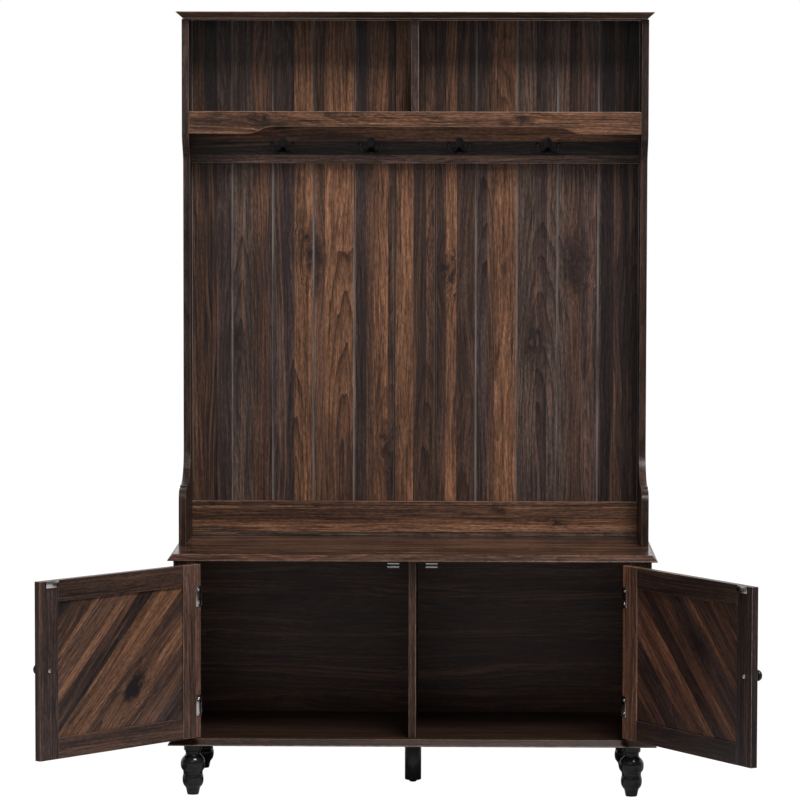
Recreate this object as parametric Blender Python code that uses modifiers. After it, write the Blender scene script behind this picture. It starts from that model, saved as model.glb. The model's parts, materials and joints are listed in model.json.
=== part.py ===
"""Hall tree with hooks: a storage bench with two doors below a tall back with coat hooks and two cubbies.

Metres, +Z up. The front faces -Y. The origin is on the floor under the centre leg.
Doors are modelled closed on their hinge axes and then swung open to their resting angles.
"""
import math

import bmesh
import bpy
from mathutils import Matrix, Vector

# ---- overall ------------------------------------------------------------------------------------
GAP = 0.0003                # clearance kept between touching pieces
BOARD = 0.015               # thickness of the upright boards
EASE = 0.0007               # eased edge on every board
BACK_Y = 0.203              # rear plane of the whole object
FRONT_Y = -0.203            # front edge of bench top and bottom board

# ---- bench cabinet ------------------------------------------------------------------------------
LEG_H = 0.1058              # floor to underside of the bottom board
SLAB = 0.014                # thickness of bench top and bottom board
SLAB_HALF = 0.510           # half width of bench top and bottom board at their lower edge
SLAB_INSET = 0.011          # how far the sloped edge runs in
SLAB_LIP = 0.002            # upright part of the edge below the slope
BOTTOM_Z = LEG_H + GAP
CARCASS_LOW = BOTTOM_Z + SLAB + GAP
BENCH_Z = 0.4940            # underside of the bench top
CARCASS_TOP = BENCH_Z - GAP
SEAT_Z = BENCH_Z + SLAB
CABINET_HALF = 0.498        # half width over the cabinet sides
STILE_FRONT = -0.192        # front face of the face stiles and of the closed doors
STILE_INNER = 0.4535        # inner edge of a face stile, from the middle
CABINET_BACK_T = 0.005
CABINET_BACK_Y = 0.195

# ---- doors --------------------------------------------------------------------------------------
DOOR_EDGE = 0.4505          # hinge edge of a door, from the middle
DOOR_W = 0.4485
DOOR_T = 0.015
DOOR_LOW = 0.1267
DOOR_TOP = 0.4886
DOOR_STILE = 0.050
DOOR_RAIL = 0.043
PANEL_T = 0.007
PANEL_BACK_STEP = 0.004     # panel recess measured from the door's front face
GROOVE_DEEP = 0.008         # groove around the frame that holds the panel
LEFT_OPEN = math.radians(132.0)
RIGHT_OPEN = math.radians(122.4)

# ---- hinges -------------------------------------------------------------------------------------
PIVOT_X = 0.4520
PIVOT_Y = -0.1950
HINGE_Z = (0.4222, 0.1942)  # upper and lower hinge centres
HINGE_H = 0.0435
BARREL_R = 0.0026
BORE_R = 0.0015
PIN_R = 0.0012
LEAF_T = 0.0010
LEAF_START = 0.0030         # leaf plates start this far behind the axis
LEAF_WRAP = 0.0145          # door leaf's width on the inner face
KNUCKLES = 5

# ---- knobs and catches --------------------------------------------------------------------------
KNOB_IN = 0.025             # knob axis from the door's free edge
KNOB_R = 0.0113
KNOB_H = 0.0250
KNOB_SCREW_R = 0.0020
KNOB_SCREW_BORE = 0.0023
STRIKE = (0.034, 0.0014, 0.0138)
STRIKE_IN = 0.034           # strike centre from the door's free edge
STRIKE_DROP = 0.0075        # strike centre below the door's top
CATCH = (0.026, 0.026, 0.0175)
CATCH_Y = -0.1750           # front face of the catch
CATCH_X = 0.0400

# ---- legs ---------------------------------------------------------------------------------------
LEG_X = 0.459
LEG_Y = 0.172
LEG_STEPS = 24
LEG_PROFILE = (             # height above the floor, radius
    (0.1058, 0.0190), (0.0945, 0.0188), (0.0915, 0.0162), (0.0860, 0.0154), (0.0822, 0.0172),
    (0.0785, 0.0209), (0.0735, 0.0241), (0.0680, 0.0256), (0.0625, 0.0257), (0.0575, 0.0250),
    (0.0535, 0.0233), (0.0505, 0.0210), (0.0465, 0.0202), (0.0425, 0.0204), (0.0385, 0.0215),
    (0.0335, 0.0220), (0.0285, 0.0219), (0.0235, 0.0209), (0.0190, 0.0187), (0.0150, 0.0154),
    (0.0110, 0.0141), (0.0015, 0.0122), (0.0, 0.0114),
)
CENTRE_LEG_R = 0.0175
CENTRE_LEG_LOW = 0.0045
GLIDE_R = 0.0080
GLIDE_STEM_R = 0.0040
GLIDE_BORE_R = 0.0043
GLIDE_STEM_TOP = 0.0220

# ---- hutch --------------------------------------------------------------------------------------
HUTCH_HALF = 0.499
HUTCH_LOW = SEAT_Z + GAP
CAP_Z = 1.6250
CAP_T = 0.015
CAP_HALF = 0.510
CAP_FRONT = 0.072
CAP_SLOPE = 0.0135          # how far the cap's edge slopes in from top to bottom
HUTCH_TOP = CAP_Z - GAP
ARM_FRONT = -0.020          # front edges of the side panels: arm, coat space, cubbies
COAT_FRONT = 0.135
CUBBY_FRONT = 0.097
NOSE_R = 0.026
NOSE_TOP = 0.6265           # top of the arm's rounded nose
COVE_Z = (0.6310, 0.6990)
COVE_RUN = 0.090
STEP_RUN = 0.022
SWEEP_Z = (1.3180, 1.3810)  # where the side panel steps back below the cubbies
CURVE_STEPS = 10

PANEL_FRONT = 0.1928        # grooved back panel
PANEL_BACK = 0.2008
PLANK = 0.088
GROOVES = 10
GROOVE_W = 0.0036
GROOVE_D = 0.0022

RAIL_FRONT = 0.1775
BASE_RAIL_TOP = 0.5838
HOOK_RAIL_LOW = 1.3166
SHELF_TOP = 1.4280
SHELF_LOW = SHELF_TOP - BOARD
VALANCE_FRONT = 0.100
VALANCE_END_LOW = 1.3800
VALANCE_MID_LOW = 1.3955
VALANCE_CURVE = (0.303, 0.360)
DIVIDER_T = 0.016

# ---- hooks --------------------------------------------------------------------------------------
HOOK_X = (-0.2855, -0.0950, 0.0950, 0.2855)
HOOK_Z = 1.3548
HOOK_PLATE = (0.0170, 0.0030, 0.0330)
HOOK_PLATE_STEPS = 4
HOOK_WIRE_R = 0.0031
HOOK_BALL_R = 0.0047
HOOK_PATH = (               # one prong, from the plate out to the ball
    (0.0015, -0.0021, -0.0060), (0.0045, -0.0110, -0.0122), (0.0110, -0.0230, -0.0136),
    (0.0178, -0.0315, -0.0112), (0.0215, -0.0352, -0.0045), (0.0226, -0.0360, 0.0030),
)

for old in list(bpy.data.objects):
    bpy.data.objects.remove(old, do_unlink=True)

parts = bpy.data.collections.new("hall_tree")
bpy.context.scene.collection.children.link(parts)


def material(name, colour, metallic, roughness):
    """A plain Principled material."""
    made = bpy.data.materials.new(name)
    made.use_nodes = True
    shader = made.node_tree.nodes["Principled BSDF"]
    shader.inputs["Base Color"].default_value = (*colour, 1.0)
    shader.inputs["Metallic"].default_value = metallic
    shader.inputs["Roughness"].default_value = roughness
    return made


WALNUT = material("walnut_laminate", (0.060, 0.034, 0.024), 0.0, 0.45)
WALNUT_BACK = material("walnut_back_board", (0.070, 0.040, 0.028), 0.0, 0.50)
BLACK_WOOD = material("black_painted_wood", (0.010, 0.010, 0.011), 0.0, 0.35)
BLACK_METAL = material("black_metal", (0.012, 0.012, 0.013), 0.8, 0.40)
BRIGHT_METAL = material("nickel_plate", (0.70, 0.69, 0.67), 1.0, 0.25)
DARK_PLASTIC = material("dark_plastic", (0.020, 0.018, 0.017), 0.0, 0.50)


def place(name, mesh, mat, location=(0.0, 0.0, 0.0), parent=None):
    """Put a mesh in the scene as one named piece; a parent's own position is taken off first."""
    made = bpy.data.objects.new(name, mesh)
    parts.objects.link(made)
    if not mesh.materials:
        mesh.materials.append(mat)
    made.location = location
    if parent is not None:
        made.parent = parent
        made.location = Vector(location) - parent.location
    return made


def finish_mesh(name, bm):
    """Close a bmesh into a mesh with its faces turned outwards."""
    bmesh.ops.recalc_face_normals(bm, faces=bm.faces)
    mesh = bpy.data.meshes.new(name)
    bm.to_mesh(mesh)
    bm.free()
    return mesh


def box_mesh(name, low, high):
    """A box between two corners, relative to its own middle; returns the mesh and the middle."""
    low = Vector(low)
    high = Vector(high)
    bm = bmesh.new()
    bmesh.ops.create_cube(bm, size=1.0)
    bmesh.ops.scale(bm, vec=high - low, verts=bm.verts)
    return finish_mesh(name, bm), (low + high) / 2


def ease_edges(piece, width=EASE):
    """A small chamfer on every sharp edge of a board."""
    bevel = piece.modifiers.new("eased_edges", "BEVEL")
    bevel.width = width
    bevel.segments = 1
    bevel.limit_method = "ANGLE"
    bevel.angle_limit = math.radians(50)


def board(name, x, y, z, mat=WALNUT, parent=None, ease=EASE):
    """A flat board given by its ranges along X, Y and Z."""
    mesh, middle = box_mesh(name, (x[0], y[0], z[0]), (x[1], y[1], z[1]))
    piece = place(name, mesh, mat, middle, parent)
    if ease:
        ease_edges(piece, ease)
    return piece


def prism_mesh(name, outline, lift):
    """A prism from a flat outline and a vector along which it is drawn out."""
    bm = bmesh.new()
    ring = [bm.verts.new(point) for point in outline]
    face = bm.faces.new(ring)
    drawn = bmesh.ops.extrude_face_region(bm, geom=[face])
    moved = [item for item in drawn["geom"] if isinstance(item, bmesh.types.BMVert)]
    bmesh.ops.translate(bm, vec=lift, verts=moved)
    return finish_mesh(name, bm)


def stacked_mesh(name, levels):
    """A solid through rectangles, each given as height, half width, front and back."""
    bm = bmesh.new()
    rings = []
    for z, half, front, back in levels:
        corners = ((-half, front), (half, front), (half, back), (-half, back))
        rings.append([bm.verts.new((x, y, z)) for x, y in corners])
    for lower, upper in zip(rings, rings[1:]):
        for i in range(4):
            j = (i + 1) % 4
            bm.faces.new((lower[i], lower[j], upper[j], upper[i]))
    bm.faces.new(rings[0])
    bm.faces.new(rings[-1])
    return finish_mesh(name, bm)


def turned(name, profile, mat, location, steps, parent=None, tilt=None):
    """A turning from (height, radius) pairs that run down from the top."""
    mesh = bpy.data.meshes.new(name)
    points = [(radius, 0.0, height) for height, radius in profile]
    mesh.from_pydata(points, [(i, i + 1) for i in range(len(points) - 1)], [])
    piece = place(name, mesh, mat, location, parent)
    if tilt is not None:
        piece.rotation_euler = tilt
    screw = piece.modifiers.new("turned", "SCREW")
    screw.axis = "Z"
    screw.angle = math.tau
    screw.steps = steps
    screw.render_steps = steps
    screw.use_merge_vertices = True
    screw.merge_threshold = 0.00001
    screw.use_smooth_shade = False
    return piece


def tube_mesh(name, outer, inner, low, high, steps):
    """A round tube standing on the Z axis."""
    bm = bmesh.new()
    rings = []
    for radius, z in ((outer, low), (outer, high), (inner, high), (inner, low)):
        angles = [math.tau * i / steps for i in range(steps)]
        rings.append([bm.verts.new((radius * math.cos(a), radius * math.sin(a), z)) for a in angles])
    for near, far in zip(rings, rings[1:] + rings[:1]):
        for i in range(steps):
            j = (i + 1) % steps
            bm.faces.new((near[i], near[j], far[j], far[i]))
    return finish_mesh(name, bm)


def combined(name, base, others, operation):
    """One mesh from a base mesh and others joined to it or cut from it."""
    body = bpy.data.objects.new(name, base)
    parts.objects.link(body)
    helpers = []
    for i, mesh in enumerate(others):
        helper = bpy.data.objects.new("%s_helper_%d" % (name, i), mesh)
        parts.objects.link(helper)
        helpers.append(helper)
        step = body.modifiers.new("step_%d" % i, "BOOLEAN")
        step.operation = operation
        step.solver = "EXACT"
        step.object = helper
    bpy.context.view_layer.update()
    graph = bpy.context.evaluated_depsgraph_get()
    mesh = bpy.data.meshes.new_from_object(body.evaluated_get(graph))
    mesh.name = name
    for helper in helpers + [body]:
        bpy.data.objects.remove(helper, do_unlink=True)
    return mesh


def moved_box(name, low, high):
    """A box mesh left at its true place."""
    mesh, middle = box_mesh(name, low, high)
    mesh.transform(Matrix.Translation(middle))
    return mesh


def bore_mesh(name, radius, centre, length, steps):
    """A round cutter or rod along Y, centred on a point."""
    bm = bmesh.new()
    turn = Matrix.Translation(centre) @ Matrix.Rotation(math.radians(90), 4, "X")
    bmesh.ops.create_cone(bm, cap_ends=True, segments=steps, radius1=radius, radius2=radius,
                          depth=length, matrix=turn)
    return finish_mesh(name, bm)


def axis_empty(name, location):
    """An empty that marks a hinge axis."""
    made = bpy.data.objects.new(name, None)
    parts.objects.link(made)
    made.location = location
    return made


# ---- bench: bottom board, carcass, top -----------------------------------------------------------
def slab(name, low):
    """Bench top or bottom board: widest at its lower edge, sloping in on the front and the sides."""
    top = low + SLAB
    levels = (
        (low, SLAB_HALF, FRONT_Y, BACK_Y),
        (low + SLAB_LIP, SLAB_HALF, FRONT_Y, BACK_Y),
        (top, SLAB_HALF - SLAB_INSET, FRONT_Y + SLAB_INSET, BACK_Y),
    )
    return place(name, stacked_mesh(name, levels), WALNUT)


slab("bottom_board", BOTTOM_Z)
slab("bench_top", BENCH_Z)
carcass_z = (CARCASS_LOW, CARCASS_TOP)
stile_back = STILE_FRONT + BOARD
for side, label in ((-1, "left"), (1, "right")):
    outer = side * CABINET_HALF
    inner = side * (CABINET_HALF - BOARD)
    board(label + "_cabinet_side", sorted((inner, outer)), (stile_back + GAP, BACK_Y), carcass_z)
    edge = side * STILE_INNER
    board(label + "_face_stile", sorted((edge, outer)), (STILE_FRONT, stile_back), carcass_z)
back_half = CABINET_HALF - BOARD - GAP
board("cabinet_back", (-back_half, back_half), (CABINET_BACK_Y, CABINET_BACK_Y + CABINET_BACK_T), carcass_z,
      WALNUT_BACK, ease=0.0)
divider_y = (stile_back + 0.0015, CABINET_BACK_Y - GAP)
board("cabinet_divider", (-BOARD / 2, BOARD / 2), divider_y, carcass_z)

# ---- legs ----------------------------------------------------------------------------------------
leg_profile = [(LEG_H, 0.0)] + list(LEG_PROFILE) + [(0.0, 0.0)]
for x, y, label in ((-LEG_X, -LEG_Y, "front_left"), (LEG_X, -LEG_Y, "front_right"),
                    (-LEG_X, LEG_Y, "back_left"), (LEG_X, LEG_Y, "back_right")):
    turned(label + "_leg", leg_profile, BLACK_WOOD, (x, y, 0.0), LEG_STEPS)
centre_profile = (
    (LEG_H, 0.0), (LEG_H, CENTRE_LEG_R), (CENTRE_LEG_LOW + 0.0015, CENTRE_LEG_R),
    (CENTRE_LEG_LOW, CENTRE_LEG_R - 0.0015), (CENTRE_LEG_LOW, GLIDE_BORE_R),
    (GLIDE_STEM_TOP + 0.001, GLIDE_BORE_R), (GLIDE_STEM_TOP + 0.001, 0.0),
)
turned("centre_leg", centre_profile, BLACK_WOOD, (0.0, 0.0, 0.0), LEG_STEPS)
glide_top = CENTRE_LEG_LOW - GAP
glide_profile = (
    (GLIDE_STEM_TOP, 0.0), (GLIDE_STEM_TOP, GLIDE_STEM_R), (glide_top, GLIDE_STEM_R),
    (glide_top, GLIDE_R), (0.0015, GLIDE_R), (0.0, GLIDE_R - 0.0015), (0.0, 0.0),
)
turned("centre_leg_glide", glide_profile, DARK_PLASTIC, (0.0, 0.0, 0.0), 16)

# ---- hutch: side panels --------------------------------------------------------------------------


def arc(centre, radius_y, radius_z, start, stop):
    """Points on an ellipse in the YZ plane, angles in degrees from +Y towards +Z."""
    points = []
    for i in range(CURVE_STEPS + 1):
        a = math.radians(start + (stop - start) * i / CURVE_STEPS)
        points.append((centre[0] + radius_y * math.cos(a), centre[1] + radius_z * math.sin(a)))
    return points


def hutch_side_outline():
    """Side panel seen from the side: deep arm, rounded nose, small step, cove, coat edge, cubby edge."""
    points = [(BACK_Y, HUTCH_LOW), (ARM_FRONT, HUTCH_LOW)]
    points += arc((ARM_FRONT + NOSE_R, NOSE_TOP - NOSE_R), NOSE_R, NOSE_R, 180, 90)
    step_y = COAT_FRONT - COVE_RUN - STEP_RUN
    points += [(step_y, NOSE_TOP), (step_y, COVE_Z[0])]
    points += arc((COAT_FRONT - COVE_RUN, COVE_Z[1]), COVE_RUN, COVE_Z[1] - COVE_Z[0], 270, 360)
    for i in range(CURVE_STEPS + 1):
        share = i / CURVE_STEPS
        blend = (1 - math.cos(math.pi * share)) / 2
        y = COAT_FRONT + (CUBBY_FRONT - COAT_FRONT) * blend
        points.append((y, SWEEP_Z[0] + (SWEEP_Z[1] - SWEEP_Z[0]) * share))
    points += [(CUBBY_FRONT, HUTCH_TOP), (BACK_Y, HUTCH_TOP)]
    return points


for side, label in ((-1, "left"), (1, "right")):
    name = label + "_hutch_side"
    outline = [(side * HUTCH_HALF, y, z) for y, z in hutch_side_outline()]
    mesh = prism_mesh(name, outline, (-side * BOARD, 0.0, 0.0))
    place(name, mesh, WALNUT)

# ---- hutch: cap, back, shelf, rails --------------------------------------------------------------
cap_levels = (
    (CAP_Z, CAP_HALF - CAP_SLOPE, CAP_FRONT + CAP_SLOPE, BACK_Y),
    (CAP_Z + 0.0015, CAP_HALF - CAP_SLOPE, CAP_FRONT + CAP_SLOPE, BACK_Y),
    (CAP_Z + CAP_T - 0.0015, CAP_HALF, CAP_FRONT, BACK_Y),
    (CAP_Z + CAP_T, CAP_HALF, CAP_FRONT, BACK_Y),
)
place("top_cap", stacked_mesh("top_cap", cap_levels), WALNUT)

inside_half = HUTCH_HALF - BOARD - GAP


def grooved_outline():
    """Back panel seen from above: a flat board with V-grooves cut in its front."""
    points = [(inside_half, PANEL_BACK), (-inside_half, PANEL_BACK), (-inside_half, PANEL_FRONT)]
    for i in range(GROOVES):
        x = (i - (GROOVES - 1) / 2) * PLANK
        points += [(x - GROOVE_W / 2, PANEL_FRONT), (x, PANEL_FRONT + GROOVE_D)]
        points.append((x + GROOVE_W / 2, PANEL_FRONT))
    points.append((inside_half, PANEL_FRONT))
    return points


outline = [(x, y, HUTCH_LOW) for x, y in grooved_outline()]
back_mesh = prism_mesh("hutch_back", outline, (0.0, 0.0, HUTCH_TOP - HUTCH_LOW))
place("hutch_back", back_mesh, WALNUT_BACK)

inside_x = (-inside_half, inside_half)
rail_y = (RAIL_FRONT, PANEL_FRONT - GAP)
board("base_rail", inside_x, rail_y, (HUTCH_LOW, BASE_RAIL_TOP))
board("hook_rail", inside_x, rail_y, (HOOK_RAIL_LOW, SHELF_LOW - GAP))
shelf_y = (VALANCE_FRONT + BOARD + GAP, PANEL_FRONT - GAP)
board("hat_shelf", inside_x, shelf_y, (SHELF_LOW, SHELF_TOP))
board("cubby_divider", (-DIVIDER_T / 2, DIVIDER_T / 2), (VALANCE_FRONT, PANEL_FRONT - GAP),
      (SHELF_TOP + GAP, HUTCH_TOP))


def valance_outline():
    """Valance seen from the front: straight deep ends and an S-curve up to the shallower middle."""
    points = [(-inside_half, SHELF_TOP), (-inside_half, VALANCE_END_LOW)]
    near, far = VALANCE_CURVE
    curve = []
    for i in range(CURVE_STEPS + 1):
        share = i / CURVE_STEPS
        blend = (1 - math.cos(math.pi * share)) / 2
        x = far + (near - far) * share
        curve.append((x, VALANCE_END_LOW + (VALANCE_MID_LOW - VALANCE_END_LOW) * blend))
    points += [(-x, z) for x, z in curve]
    points += curve[::-1]
    points += [(inside_half, VALANCE_END_LOW), (inside_half, SHELF_TOP)]
    return points


outline = [(x, VALANCE_FRONT, z) for x, z in valance_outline()]
place("shelf_valance", prism_mesh("shelf_valance", outline, (0.0, BOARD, 0.0)), WALNUT)

# ---- coat hooks ----------------------------------------------------------------------------------


def prong_mesh(side):
    """One prong of a hook, a round bar along a smooth path."""
    curve = bpy.data.curves.new("prong", "CURVE")
    curve.dimensions = "3D"
    curve.bevel_depth = HOOK_WIRE_R
    curve.bevel_resolution = 1
    curve.resolution_u = 3
    curve.use_fill_caps = True
    spline = curve.splines.new("BEZIER")
    spline.bezier_points.add(len(HOOK_PATH) - 1)
    for point, place_at in zip(spline.bezier_points, HOOK_PATH):
        point.co = (side * place_at[0], place_at[1], place_at[2])
        point.handle_left_type = "AUTO"
        point.handle_right_type = "AUTO"
    holder = bpy.data.objects.new("prong", curve)
    parts.objects.link(holder)
    bpy.context.view_layer.update()
    graph = bpy.context.evaluated_depsgraph_get()
    mesh = bpy.data.meshes.new_from_object(holder.evaluated_get(graph))
    bm = bmesh.new()
    bm.from_mesh(mesh)
    bmesh.ops.remove_doubles(bm, verts=bm.verts, dist=0.00001)
    bpy.data.objects.remove(holder, do_unlink=True)
    return finish_mesh("prong_%d" % side, bm)


def ball_mesh(side):
    """The ball on the end of a prong."""
    bm = bmesh.new()
    bmesh.ops.create_uvsphere(bm, u_segments=12, v_segments=8, radius=HOOK_BALL_R)
    tip = HOOK_PATH[-1]
    bmesh.ops.translate(bm, vec=(side * tip[0], tip[1], tip[2]), verts=bm.verts)
    return finish_mesh("ball_%d" % side, bm)


def plate_mesh():
    """The hook's wall plate: a tall rounded plate."""
    width, thick, tall = HOOK_PLATE
    radius = width / 2
    outline = []
    for centre_z, start in ((tall / 2 - radius, 0.0), (radius - tall / 2, math.pi)):
        for i in range(HOOK_PLATE_STEPS * 2 + 1):
            a = start + math.pi * i / (HOOK_PLATE_STEPS * 2)
            outline.append((radius * math.cos(a), 0.0, centre_z + radius * math.sin(a)))
    return prism_mesh("plate", outline, (0.0, -thick, 0.0))


hook_pieces = [prong_mesh(-1), prong_mesh(1), ball_mesh(-1), ball_mesh(1)]
hook_mesh = combined("coat_hook", plate_mesh(), hook_pieces, "UNION")
for i, x in enumerate(HOOK_X):
    place("coat_hook_%d" % (i + 1), hook_mesh, BLACK_METAL, (x, RAIL_FRONT - GAP, HOOK_Z))

# ---- doors ---------------------------------------------------------------------------------------


def framed_bar(name, x, z, slots, bores=()):
    """A stile or rail of the door frame with slots cut for the panel, the tenons and the knob screw."""
    back = STILE_FRONT + DOOR_T
    bar = moved_box(name, (x[0], STILE_FRONT, z[0]), (x[1], back, z[1]))
    cuts = [moved_box("slot", low, high) for low, high in slots]
    cuts += list(bores)
    return combined(name, bar, cuts, "DIFFERENCE")


def door(side, label, axis):
    """Frame and panel of one door, drawn closed; side is -1 for the left door, 1 for the right."""
    hinge_edge = DOOR_EDGE
    free_edge = DOOR_EDGE - DOOR_W
    front = STILE_FRONT
    back = front + DOOR_T
    groove_y = (front + PANEL_BACK_STEP - GAP, front + PANEL_BACK_STEP + PANEL_T + GAP)
    tongue_y = (front + PANEL_BACK_STEP, front + PANEL_BACK_STEP + PANEL_T)
    inner_low = free_edge + DOOR_STILE
    inner_high = hinge_edge - DOOR_STILE
    over = 0.001

    def span(a, b):
        return sorted((side * a, side * b))

    def add(name, mesh):
        piece = place(name, mesh, WALNUT, (0.0, 0.0, 0.0), axis)
        ease_edges(piece, 0.0005)

    stiles = (("hinge_stile", inner_high, hinge_edge, inner_high - over, inner_high + GROOVE_DEEP),
              ("meeting_stile", free_edge, inner_low, inner_low - GROOVE_DEEP, inner_low + over))
    for kind, a, b, slot_a, slot_b in stiles:
        x = span(a, b)
        slot_x = span(slot_a, slot_b)
        slot = ((slot_x[0], groove_y[0], DOOR_LOW - over), (slot_x[1], groove_y[1], DOOR_TOP + over))
        bores = []
        if kind == "meeting_stile":
            centre = (side * (free_edge + KNOB_IN), (front + back) / 2, KNOB_Z)
            bores.append(bore_mesh("bore", KNOB_SCREW_BORE, centre, DOOR_T + 2 * over, 12))
        add("%s_door_%s" % (label, kind), framed_bar(kind, x, (DOOR_LOW, DOOR_TOP), [slot], bores))

    rails = (("top_rail", DOOR_TOP - DOOR_RAIL, DOOR_TOP, -1), ("bottom_rail", DOOR_LOW, DOOR_LOW + DOOR_RAIL, 1))
    for kind, low, high, facing in rails:
        tenon = GROOVE_DEEP - GAP
        x = span(inner_low - tenon, inner_high + tenon)
        inner_z = high if facing > 0 else low
        slot_z = sorted((inner_z + facing * over, inner_z - facing * GROOVE_DEEP))
        slots = [((x[0] - over, groove_y[0], slot_z[0]), (x[1] + over, groove_y[1], slot_z[1]))]
        for edge, sign in ((inner_low, -1), (inner_high, 1)):
            cheek = span(edge - sign * GAP, edge + sign * (tenon + over))
            slots.append(((cheek[0], front - over, low - over), (cheek[1], tongue_y[0], high + over)))
            slots.append(((cheek[0], tongue_y[1], low - over), (cheek[1], back + over, high + over)))
        add("%s_door_%s" % (label, kind), framed_bar(kind, x, (low, high), slots))

    reach = GROOVE_DEEP - GAP
    x = span(inner_low - reach, inner_high + reach)
    z = (DOOR_LOW + DOOR_RAIL - reach, DOOR_TOP - DOOR_RAIL + reach)
    mesh = moved_box("panel", (x[0], tongue_y[0], z[0]), (x[1], tongue_y[1], z[1]))
    place("%s_door_panel" % label, mesh, WALNUT, (0.0, 0.0, 0.0), axis)


KNOB_Z = (DOOR_LOW + DOOR_TOP) / 2
KNOB_PROFILE = (            # distance from the door's face, radius
    (KNOB_H, 0.0), (KNOB_H, 0.0040), (KNOB_H - 0.0012, 0.0080), (KNOB_H - 0.0035, 0.0104),
    (KNOB_H - 0.0065, KNOB_R), (KNOB_H - 0.0095, 0.0102), (KNOB_H - 0.0120, 0.0072),
    (0.0085, 0.0052), (0.0045, 0.0054), (0.0015, 0.0080), (0.0, 0.0082), (0.0, KNOB_SCREW_BORE),
    (0.0125, KNOB_SCREW_BORE), (0.0125, 0.0),
)


def knob_and_screw(side, label, axis):
    """Knob on the door's face and the screw that holds it from the inner face."""
    x = side * (DOOR_EDGE - DOOR_W + KNOB_IN)
    tilt = (math.radians(90), 0.0, 0.0)
    face = (x, STILE_FRONT - GAP, KNOB_Z)
    turned(label + "_door_knob", KNOB_PROFILE, BLACK_METAL, face, 20, axis, tilt)
    back = STILE_FRONT + DOOR_T
    head = 0.0022
    shank = DOOR_T + 0.0110
    screw_profile = (
        (shank, 0.0), (shank, KNOB_SCREW_R), (0.0, KNOB_SCREW_R), (0.0, 0.0042),
        (-head * 0.6, 0.0040), (-head, 0.0028), (-head, 0.0),
    )
    seat = (x, back + GAP, KNOB_Z)
    turned(label + "_knob_screw", screw_profile, BRIGHT_METAL, seat, 12, axis, tilt)


def knuckle_spans():
    """Lower and upper ends of the five knuckles of a hinge, from its middle."""
    pitch = HINGE_H / KNUCKLES
    return [(-HINGE_H / 2 + i * pitch + GAP / 2, -HINGE_H / 2 + (i + 1) * pitch - GAP / 2) for i in range(KNUCKLES)]


def leaf_mesh(name, side, is_door):
    """A hinge leaf around the axis at the origin: plate, tabs and knuckles in one piece."""
    depth = STILE_FRONT + DOOR_T - PIVOT_Y
    if is_door:
        near = DOOR_EDGE + GAP - PIVOT_X
        reach = depth + GAP
        chosen = (1, 3)
    else:
        near = STILE_INNER - GAP - LEAF_T - PIVOT_X
        reach = depth - 0.001
        chosen = (0, 2, 4)

    def block(a, b, y, z):
        x = sorted((side * a, side * b))
        return moved_box("block", (x[0], y[0], z[0]), (x[1], y[1], z[1]))

    half = HINGE_H / 2
    base = block(near, near + LEAF_T, (LEAF_START, reach + LEAF_T), (-half, half))
    others = []
    if is_door:
        others.append(block(near - LEAF_WRAP, near + LEAF_T / 2, (reach, reach + LEAF_T), (-half, half)))
    spans = knuckle_spans()
    for i in chosen:
        low, high = spans[i]
        others.append(tube_mesh("knuckle", BARREL_R, BORE_R, low, high, 14))
        others.append(block(near, near + LEAF_T, (BORE_R + 0.0004, LEAF_START + 0.0004), (low, high)))
    return combined(name, base, others, "UNION")


def hinges(side, label, axis):
    """Upper and lower hinge of one door: frame leaf, door leaf and pin."""
    frame_leaf = leaf_mesh(label + "_frame_leaf", side, False)
    door_leaf = leaf_mesh(label + "_door_leaf", side, True)
    pin_half = HINGE_H / 2 + 0.0004
    pin_profile = ((pin_half + 0.0010, 0.0), (pin_half + 0.0010, 0.0018), (pin_half, 0.0022),
                   (pin_half, PIN_R), (-pin_half, PIN_R), (-pin_half, 0.0))
    for z, level in zip(HINGE_Z, ("upper", "lower")):
        spot = (side * PIVOT_X, PIVOT_Y, z)
        stem = "%s_%s_hinge" % (label, level)
        place(stem + "_frame_leaf", frame_leaf, BRIGHT_METAL, spot)
        place(stem + "_door_leaf", door_leaf, BRIGHT_METAL, spot, axis)
        turned(stem + "_pin", pin_profile, BRIGHT_METAL, spot, 12)


def catch_and_strike(side, label, axis):
    """Magnetic catch under the bench top and the steel strike on the door."""
    wide, deep, tall = CATCH
    x = side * CATCH_X
    board(label + "_magnetic_catch", (x - wide / 2, x + wide / 2), (CATCH_Y, CATCH_Y + deep),
          (CARCASS_TOP - tall, CARCASS_TOP), DARK_PLASTIC)
    wide, thick, tall = STRIKE
    x = side * (DOOR_EDGE - DOOR_W + STRIKE_IN)
    z = DOOR_TOP - STRIKE_DROP
    back = STILE_FRONT + DOOR_T + GAP
    board(label + "_strike_plate", (x - wide / 2, x + wide / 2), (back, back + thick), (z - tall / 2, z + tall / 2),
          BRIGHT_METAL, axis, 0.0003)


for side, label, turn in ((-1, "left", -LEFT_OPEN), (1, "right", RIGHT_OPEN)):
    axis = axis_empty(label + "_door_axis", (side * PIVOT_X, PIVOT_Y, KNOB_Z))
    door(side, label, axis)
    knob_and_screw(side, label, axis)
    hinges(side, label, axis)
    catch_and_strike(side, label, axis)
    axis.rotation_euler = (0.0, 0.0, turn)
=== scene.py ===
"""Looks for the hall tree with hooks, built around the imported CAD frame."""
import json
import math

import bmesh
import bpy
from mathutils import Matrix, Vector


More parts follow.
